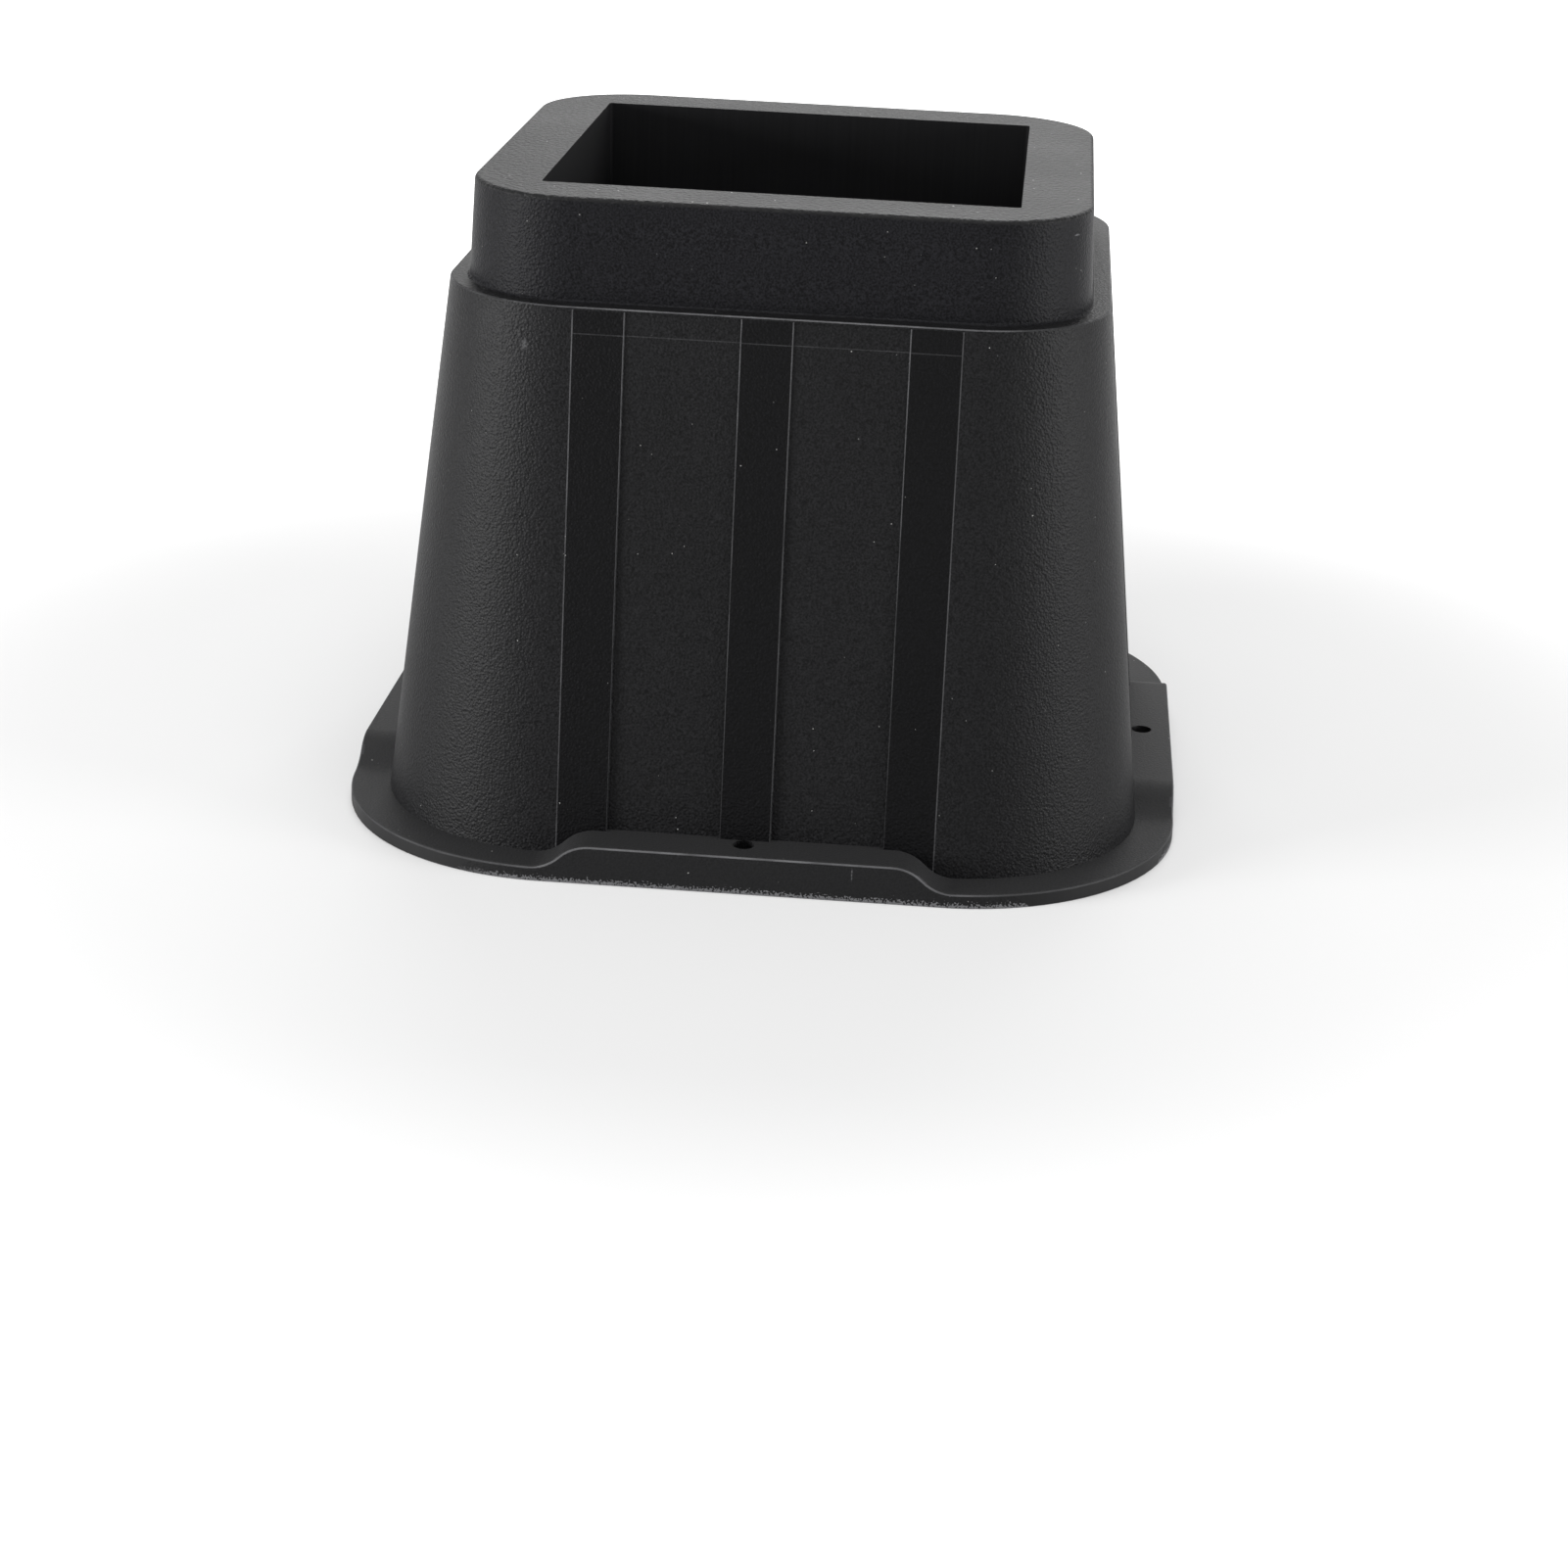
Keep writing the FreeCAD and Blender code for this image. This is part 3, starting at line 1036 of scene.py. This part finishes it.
    def worn_spot(self, place: Place, fine: Socket, mark: Mark) -> Socket:
        """Mask one wear mark, strongest at its middle.

        Args:
            place: where the point lies.
            fine: the roughness that breaks the mark into crumbs.
            mark: the mark.

        Returns:
            A socket that is above zero on the mark.
        """
        tree = place.tree
        offset = vector_math(tree, "SUBTRACT", {0: place.point, 1: in_metres(mark.place_mm)})
        share = vector_math(tree, "DIVIDE", {0: offset.outputs[0], 1: in_metres(mark.reach_mm)})
        distance = vector_math(tree, "LENGTH", {0: share.outputs[0]}).outputs["Value"]
        spot = ramp(tree, distance, (self.mark_core, 1.0), (mark.strength, 0.0))
        return every(tree, spot, ramp(tree, fine, self.crumb_noise, self.crumb_strength))


@dataclass(frozen=True)
class GroundPolypropylene(Finish):
    """Polypropylene moulded against ground and stoned steel.

    The rim has no grain. It is flat and silky, and at a low angle it takes a
    broad soft sheen from what is behind it.
    """

    name: str = "ground_black_polypropylene"
    body: str = "#121213"
    shades: Span = (0.8, 1.25)
    roughness: float = 0.5
    roughness_swing: float = 0.07
    specular: float = 0.11
    dust: str = "#c4c4c2"
    dust_spacing_mm: float = 3.0
    dust_size_mm: float = 0.2
    grind_mm: float = 1.0
    grind_depth_mm: float = 0.48
    cloud_mm: float = 35.0

    def look(self, tree: Tree, layout: Layout) -> tuple[Socket, Socket | float, Socket]:
        """Add the grinding marks, the drifting shade and the dust.

        Args:
            tree: the material's node tree.
            layout: not needed, because the finish is the same all over.

        Returns:
            The colour, the roughness and the normal.
        """
        point = add_node(tree, "ShaderNodeTexCoord").outputs["Object"]
        grind = noise(tree, point, self.grind_mm, detail=2.0)
        cloud = noise(tree, point, self.cloud_mm, detail=4.0)
        toned = shaded(tree, linear(self.body), self.drift(tree, cloud))
        specks = dust_specks(tree, point, self.dust_spacing_mm, self.dust_size_mm)
        colour = blend_colours(tree, specks, toned, linear(self.dust))
        height = work_out(tree, "MULTIPLY", grind, metres(self.grind_depth_mm))
        return colour, self.uneven(tree, cloud), relief(tree, height)


@dataclass(frozen=True)
class DrawnPolypropylene(Finish):
    """Polypropylene drawn off a machined core.

    The hidden inside has faint upright drag marks from when the moulding was
    pushed off the core, and it stays dull.
    """

    name: str = "core_side_black_polypropylene"
    body: str = "#0e0e0f"
    shades: Span = (0.75, 1.3)
    roughness: float = 0.5
    specular: float = 0.2
    drag_mm: float = 0.6
    drag_length_mm: float = 30.0
    drag_depth_mm: float = 0.012

    def look(self, tree: Tree, layout: Layout) -> tuple[Socket, Socket | float, Socket]:
        """Add the drag marks.

        Args:
            tree: the material's node tree.
            layout: not needed, because the finish is the same all over.

        Returns:
            The colour, the roughness and the normal.
        """
        point = add_node(tree, "ShaderNodeTexCoord").outputs["Object"]
        across = per_metre(self.drag_mm)
        stretched = add_node(
            tree, "ShaderNodeMapping",
            inputs={"Vector": point, "Scale": (across, across, per_metre(self.drag_length_mm))},
        ).outputs[0]
        # The mapping has set the scale, so that the noise has one feature per unit.
        drag = noise(tree, stretched, feature_mm=MM_PER_METRE, detail=3.0)
        colour = shaded(tree, linear(self.body), self.drift(tree, drag))
        height = work_out(tree, "MULTIPLY", drag, metres(self.drag_depth_mm))
        return colour, self.roughness, relief(tree, height)


FINISHES = {
    Zone.WALL: SparkGrainedPolypropylene(),
    Zone.COLLAR: SparkGrainedPolypropylene(
        name="dull_black_polypropylene", body="#141416", specular=0.06
    ),
    Zone.FLANGE: SparkGrainedPolypropylene(
        name="rubbed_black_polypropylene", body="#151516", mottle=0.3,
        grain_depth_mm=0.05, roughness=0.72, specular=0.3,
    ),
    Zone.RIM: GroundPolypropylene(),
    Zone.CUP: DrawnPolypropylene(
        name="cup_black_polypropylene", body="#151516", roughness=0.62, specular=0.06
    ),
    Zone.UNDERSIDE: DrawnPolypropylene(),
    Zone.SKIRT: SparkGrainedPolypropylene(
        name="trimmed_black_polypropylene", mottle=0.3,
        grain_depth_mm=0.05, roughness=0.6, specular=0.15,
    ),
}


@dataclass
class RiserMoulding:
    """The one-piece moulding, with fine round corners and each zone dressed."""

    layout: Layout
    source: bpy.types.Object
    sharp_angle: float = 40.0
    corner_rounds: int = 2
    weld_mm: float = 0.002
    middle_slack_mm: float = 0.0005
    flat_weight: int = 90
    piece: bpy.types.Object | None = None

    def build(self) -> None:
        """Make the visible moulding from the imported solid."""
        bpy.ops.object.select_all(action="DESELECT")
        mesh = self.source.data.copy()
        self.piece = bpy.data.objects.new("moulding", mesh)
        bpy.context.scene.collection.objects.link(self.piece)
        self.piece.select_set(True)
        bpy.context.view_layer.objects.active = self.piece
        self.join_triangles()
        for _ in range(self.corner_rounds):
            self.refine_corners()
        self.smooth()
        self.true_normals()
        self.dress()
        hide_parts(NODE)
        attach(self.piece, BODY)
        log.info("moulding: %d faces", len(self.piece.data.polygons))

    def join_triangles(self) -> None:
        """Weld the loose triangles into one closed skin."""
        if self.piece.data.has_custom_normals:
            bpy.ops.mesh.customdata_custom_splitnormals_clear()
        bpy.ops.object.mode_set(mode="EDIT")
        bpy.ops.mesh.select_all(action="SELECT")
        bpy.ops.mesh.remove_doubles(threshold=metres(self.weld_mm))
        bpy.ops.object.mode_set(mode="OBJECT")

    def refine_corners(self) -> None:
        """Halve the facets of the round outer corners and set them on the true curve."""
        mesh = self.piece.data
        bpy.ops.object.mode_set(mode="EDIT")
        bpy.ops.mesh.select_mode(type="FACE")
        bpy.ops.mesh.select_all(action="DESELECT")
        bpy.ops.object.mode_set(mode="OBJECT")
        for face in mesh.polygons:
            corners = [mesh.vertices[number].co * MM_PER_METRE for number in face.vertices]
            face.select = self.layout.is_round_corner(corners, face.normal)
        old_count = len(mesh.vertices)
        bpy.ops.object.mode_set(mode="EDIT")
        bpy.ops.mesh.subdivide(number_cuts=1)
        bpy.ops.object.mode_set(mode="OBJECT")
        ends = {number: [] for number in range(old_count, len(mesh.vertices))}
        for edge in mesh.edges:
            older, newer = sorted(edge.vertices)
            if older < old_count <= newer:
                ends[newer].append(older)
        for number, neighbours in ends.items():
            middle = mesh.vertices[number]
            pair = self.halved_edge(middle.co, [mesh.vertices[end].co for end in neighbours])
            if pair and all(self.layout.in_corner(end) for end in pair):
                middle.co = self.layout.on_curve(middle.co * MM_PER_METRE, pair) / MM_PER_METRE

    def halved_edge(self, middle: Vector, ends: list[Vector]) -> list[Vector] | None:
        """Find the two ends of the edge whose middle a new vertex is.

        Args:
            middle: the new vertex, in metres.
            ends: the old vertices that it is joined to, in metres.

        Returns:
            The two ends in millimetres, or nothing.
        """
        for place, first in enumerate(ends):
            for second in ends[place + 1:]:
                if ((first + second) / 2 - middle).length < metres(self.middle_slack_mm):
                    return [first * MM_PER_METRE, second * MM_PER_METRE]
        return None

    def smooth(self) -> None:
        """Shade the roundings smooth and keep the sharp edges sharp."""
        bpy.ops.object.shade_smooth_by_angle(angle=math.radians(self.sharp_angle))
        even = self.piece.modifiers.new("even", "WEIGHTED_NORMAL")
        even.mode = "FACE_AREA_WITH_ANGLE"
        even.weight = self.flat_weight
        even.keep_sharp = True
        bpy.ops.object.modifier_apply(modifier=even.name)

    def true_normals(self) -> None:
        """Shade planes dead flat and tapered walls as exact cones."""
        mesh = self.piece.data
        normals = [Vector(corner.vector) for corner in mesh.corner_normals]
        for face in mesh.polygons:
            square_on = max(abs(axis) for axis in face.normal) > SQUARE_ON
            for loop in face.loop_indices:
                place = mesh.vertices[mesh.loops[loop].vertex_index].co * MM_PER_METRE
                if square_on:
                    normals[loop] = face.normal.copy()
                elif (exact := self.layout.wall_normal(place, face.normal)) != face.normal:
                    normals[loop] = exact
        mesh.normals_split_custom_set(normals)

    def dress(self) -> None:
        """Give each zone of the moulding its finish."""
        mesh = self.piece.data
        mesh.materials.clear()
        for zone in Zone:
            mesh.materials.append(FINISHES[zone].build(self.layout))
        for face in mesh.polygons:
            zone = self.layout.zone_of(face.center * MM_PER_METRE, face.normal)
            face.material_index = zone.value


@dataclass(frozen=True)
class Softbox:
    """One soft lamp: where it hangs, its width and height, and its power."""

    name: str
    place_mm: tuple[float, float, float]
    size_mm: Span
    watts: float

    def hang(self, target_mm: tuple[float, float, float]) -> None:
        """Hang the lamp so that it faces a point.

        Args:
            target_mm: the point.
        """
        data = bpy.data.lights.new(self.name, "AREA")
        data.shape = "RECTANGLE"
        data.size, data.size_y = in_metres(self.size_mm)
        data.energy = self.watts
        lamp = bpy.data.objects.new(self.name, data)
        bpy.context.scene.collection.objects.link(lamp)
        lamp.location = in_metres(self.place_mm)
        away = lamp.location - Vector(in_metres(target_mm))
        lamp.rotation_euler = away.to_track_quat("Z", "Y").to_euler()


@dataclass(frozen=True)
class Studio:
    """Plain white studio: a pale floor, a white surround and soft lamps."""

    floor_half_mm: float = 6000.0
    floor_gap_mm: float = 0.1
    floor_colour: str = "#c8c8c8"
    floor_lift: float = 0.18
    shadow_fade_mm: Span = (150.0, 400.0)
    surround_level: float = 0.36
    target_mm: tuple[float, float, float] = (0.0, 0.0, 60.0)
    lamps: tuple[Softbox, ...] = (
        Softbox("lamp_left", (-1087.0, -554.0, 175.0), (500.0, 320.0), 20.0),
        Softbox("lamp_right", (1178.0, -316.0, 175.0), (500.0, 320.0), 13.0),
        Softbox("lamp_back", (0.0, 1100.0, 900.0), (900.0, 900.0), 9.0),
        Softbox("lamp_front", (-200.0, -900.0, 1300.0), (900.0, 900.0), 3.5),
        Softbox("lamp_top", (100.0, -250.0, 1300.0), (700.0, 700.0), 7.5),
    )

    def build(self) -> None:
        """Make the surround, the floor and the lamps."""
        self.make_surround()
        self.make_floor()
        for lamp in self.lamps:
            lamp.hang(self.target_mm)
        log.info("studio: surround, floor and %d lamps", len(self.lamps))

    def make_surround(self) -> None:
        """Light the scene evenly, with white where the camera and reflections look."""
        world = bpy.data.worlds.new("surround")
        bpy.context.scene.world = world
        world.use_nodes = True
        tree = world.node_tree
        tree.nodes.clear()
        strength = ramp(tree, seen_by_eye(tree), FULL, (self.surround_level, 1.0))
        background = add_node(
            tree, "ShaderNodeBackground", inputs={"Color": linear(WHITE), "Strength": strength}
        )
        add_node(tree, "ShaderNodeOutputWorld", inputs={"Surface": background.outputs[0]})

    def make_floor(self) -> None:
        """Lay the pale floor that takes the riser's shadow and turns white further off.

        It lies a hair below the riser, so that the two never share a plane.
        """
        bpy.ops.object.select_all(action="DESELECT")
        bpy.ops.mesh.primitive_plane_add(
            size=metres(2 * self.floor_half_mm), location=(0.0, 0.0, metres(-self.floor_gap_mm))
        )
        floor = bpy.context.active_object
        floor.name = "floor"
        material, tree = material_with("pale_floor")
        matt = add_node(tree, "ShaderNodeBsdfDiffuse", inputs={"Color": linear(self.floor_colour)})
        point = add_node(tree, "ShaderNodeTexCoord").outputs["Object"]
        reach = vector_math(tree, "LENGTH", {0: point}).outputs["Value"]
        fade = in_metres(self.shadow_fade_mm)
        level = ramp(tree, reach, fade, (self.floor_lift, 1.0), "SMOOTHSTEP")
        lift = work_out(tree, "MULTIPLY", seen_by_eye(tree), level)
        glow = add_node(
            tree, "ShaderNodeEmission", inputs={"Color": linear(WHITE), "Strength": lift}
        )
        both = add_node(
            tree, "ShaderNodeAddShader", inputs={0: matt.outputs[0], 1: glow.outputs[0]}
        )
        add_node(tree, "ShaderNodeOutputMaterial", inputs={"Surface": both.outputs[0]})
        floor.data.materials.append(material)


@dataclass(frozen=True)
class StudioCamera:
    """Camera at the viewing angle of the photograph."""

    place_mm: tuple[float, float, float] = (50.248, -632.721, 242.823)
    rightward: tuple[float, float, float] = (0.99696792, 0.06393745, 0.04435048)
    upward: tuple[float, float, float] = (-0.06244632, 0.31734565, 0.94625165)
    backward: tuple[float, float, float] = (0.04642648, -0.94615207, 0.3203761)
    lens_mm: float = 72.563
    sensor_mm: float = 36.0
    shift: Span = (-0.0577, -0.1053)
    range_mm: Span = (10.0, 50000.0)

    def build(self) -> None:
        """Make the camera and use it for the scene."""
        data = bpy.data.cameras.new("camera")
        data.sensor_width = self.sensor_mm
        data.lens = self.lens_mm
        data.shift_x, data.shift_y = self.shift
        data.clip_start, data.clip_end = in_metres(self.range_mm)
        camera = bpy.data.objects.new("camera", data)
        bpy.context.scene.collection.objects.link(camera)
        turn = Matrix((self.rightward, self.upward, self.backward)).transposed()
        place = Vector(in_metres(self.place_mm))
        camera.matrix_world = Matrix.Translation(place) @ turn.to_4x4()
        bpy.context.scene.camera = camera
        log.info("camera: lens %.1f mm", self.lens_mm)


def main() -> None:
    """Build the riser's looks, the studio and the camera in order."""
    logging.basicConfig(level=logging.INFO, format="%(name)s %(message)s")
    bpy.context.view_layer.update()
    bpy.context.scene.view_settings.view_transform = "Standard"
    StudioCamera().build()
    Studio().build()
    RiserMoulding(Layout(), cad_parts[NODE]).build()


if __name__ == "__main__":
    main()
